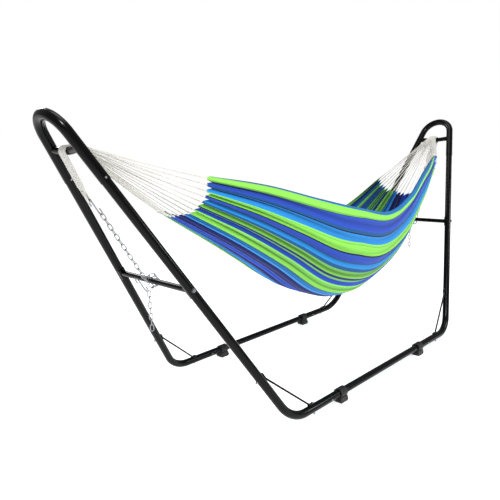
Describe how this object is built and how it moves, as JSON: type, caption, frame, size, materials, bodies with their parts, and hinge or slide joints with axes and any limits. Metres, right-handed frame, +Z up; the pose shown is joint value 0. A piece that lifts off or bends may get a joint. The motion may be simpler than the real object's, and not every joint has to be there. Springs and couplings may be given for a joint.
{
  "type": "hammock on stand",
  "caption": "Striped sling hammock with string clews, hung by chains between two leaning hairpin arches of a black steel tube stand",
  "frame": {"origin": "centre of the stand's footprint, on the floor", "axes": "+X along the hammock from the left arch to the right arch, -Y the near side, +Z up"},
  "size_m": [2.9442, 0.905, 1.3566],
  "materials": {
    "black_powder_coat": "smooth gloss black powder coat",
    "black_foot_rubber": "moulded black, satin",
    "zinc_plated_steel": "bright zinc plate",
    "white_cotton_cord": "twisted and woven off-white cotton",
    "striped_cotton_cloth": "woven cotton in lime, royal blue, sky blue, teal and navy stripes"
  },
  "bodies": {
    "stand": {"arch_left": "black_powder_coat", "arch_right": "black_powder_coat", "corner_left_near": "black_powder_coat", "corner_left_far": "black_powder_coat", "corner_right_near": "black_powder_coat", "corner_right_far": "black_powder_coat", "mid_rail_near": "black_powder_coat", "mid_rail_far": "black_powder_coat", "foot_left_near": "black_foot_rubber", "foot_left_far": "black_foot_rubber", "foot_right_near": "black_foot_rubber", "foot_right_far": "black_foot_rubber", "brace_left_near": "black_powder_coat", "brace_left_far": "black_powder_coat", "brace_right_near": "black_powder_coat", "brace_right_far": "black_powder_coat", "brace_bolts": "zinc_plated_steel", "brace_nuts": "zinc_plated_steel", "lower_crossbar_left": "black_powder_coat", "lower_crossbar_right": "black_powder_coat", "crossbar_bolts": "zinc_plated_steel", "crossbar_washers": "zinc_plated_steel", "hook_bar_left": "black_powder_coat", "hook_bar_right": "black_powder_coat", "button_springs": "zinc_plated_steel", "end_band_left": "white_cotton_cord", "end_band_right": "white_cotton_cord", "s_hook_upper_left": "zinc_plated_steel", "s_hook_upper_right": "zinc_plated_steel", "s_hook_lower_left": "zinc_plated_steel", "s_hook_lower_right": "zinc_plated_steel", "chain_left": "zinc_plated_steel", "chain_right": "zinc_plated_steel"},
    "hammock": {"hammock_cloth": "striped_cotton_cloth", "clew_strings_left": "white_cotton_cord", "clew_strings_right": "white_cotton_cord"},
    "chain_tail_left": {"chain_tail_left": "zinc_plated_steel"},
    "chain_tail_right": {"chain_tail_right": "zinc_plated_steel"},
    "button_base_left_near": {"button_base_left_near": "zinc_plated_steel"},
    "button_base_left_far": {"button_base_left_far": "zinc_plated_steel"},
    "button_base_right_near": {"button_base_right_near": "zinc_plated_steel"},
    "button_base_right_far": {"button_base_right_far": "zinc_plated_steel"},
    "button_arch_left_near": {"button_arch_left_near": "zinc_plated_steel"},
    "button_arch_left_far": {"button_arch_left_far": "zinc_plated_steel"},
    "button_arch_right_near": {"button_arch_right_near": "zinc_plated_steel"},
    "button_arch_right_far": {"button_arch_right_far": "zinc_plated_steel"}
  },
  "joints": [
    {"name": "hammock_sway", "type": "hinge", "parent": "stand", "child": "hammock", "pos_m": [0, 0, 1.20897], "axis": [1, 0, 0], "range_deg": [-30, 30]},
    {"name": "tail_swing_left", "type": "hinge", "parent": "stand", "child": "chain_tail_left", "pos_m": [-1.08218, 0.022, 0.62416], "axis": [0, 1, 0], "range_deg": [-25, 25]},
    {"name": "tail_swing_right", "type": "hinge", "parent": "stand", "child": "chain_tail_right", "pos_m": [1.08218, 0.022, 0.62416], "axis": [0, 1, 0], "range_deg": [-25, 25]},
    {"name": "press_base_left_near", "type": "slide", "parent": "stand", "child": "button_base_left_near", "axis": [0, 1, 0], "range_m": [0, 0.005], "stiffness_N_per_m": 1200, "springref_m": -0.002},
    {"name": "press_base_left_far", "type": "slide", "parent": "stand", "child": "button_base_left_far", "axis": [0, 1, 0], "range_m": [0, 0.005], "stiffness_N_per_m": 1200, "springref_m": -0.002},
    {"name": "press_base_right_near", "type": "slide", "parent": "stand", "child": "button_base_right_near", "axis": [0, 1, 0], "range_m": [0, 0.005], "stiffness_N_per_m": 1200, "springref_m": -0.002},
    {"name": "press_base_right_far", "type": "slide", "parent": "stand", "child": "button_base_right_far", "axis": [0, 1, 0], "range_m": [0, 0.005], "stiffness_N_per_m": 1200, "springref_m": -0.002},
    {"name": "press_arch_left_near", "type": "slide", "parent": "stand", "child": "button_arch_left_near", "axis": [0.1127, 0.9738, -0.1976], "range_m": [0, 0.005], "stiffness_N_per_m": 1200, "springref_m": -0.002},
    {"name": "press_arch_left_far", "type": "slide", "parent": "stand", "child": "button_arch_left_far", "axis": [-0.1127, 0.9738, 0.1976], "range_m": [0, 0.005], "stiffness_N_per_m": 1200, "springref_m": -0.002},
    {"name": "press_arch_right_near", "type": "slide", "parent": "stand", "child": "button_arch_right_near", "axis": [-0.1127, 0.9738, -0.1976], "range_m": [0, 0.005], "stiffness_N_per_m": 1200, "springref_m": -0.002},
    {"name": "press_arch_right_far", "type": "slide", "parent": "stand", "child": "button_arch_right_far", "axis": [0.1127, 0.9738, 0.1976], "range_m": [0, 0.005], "stiffness_N_per_m": 1200, "springref_m": -0.002}
  ]
}
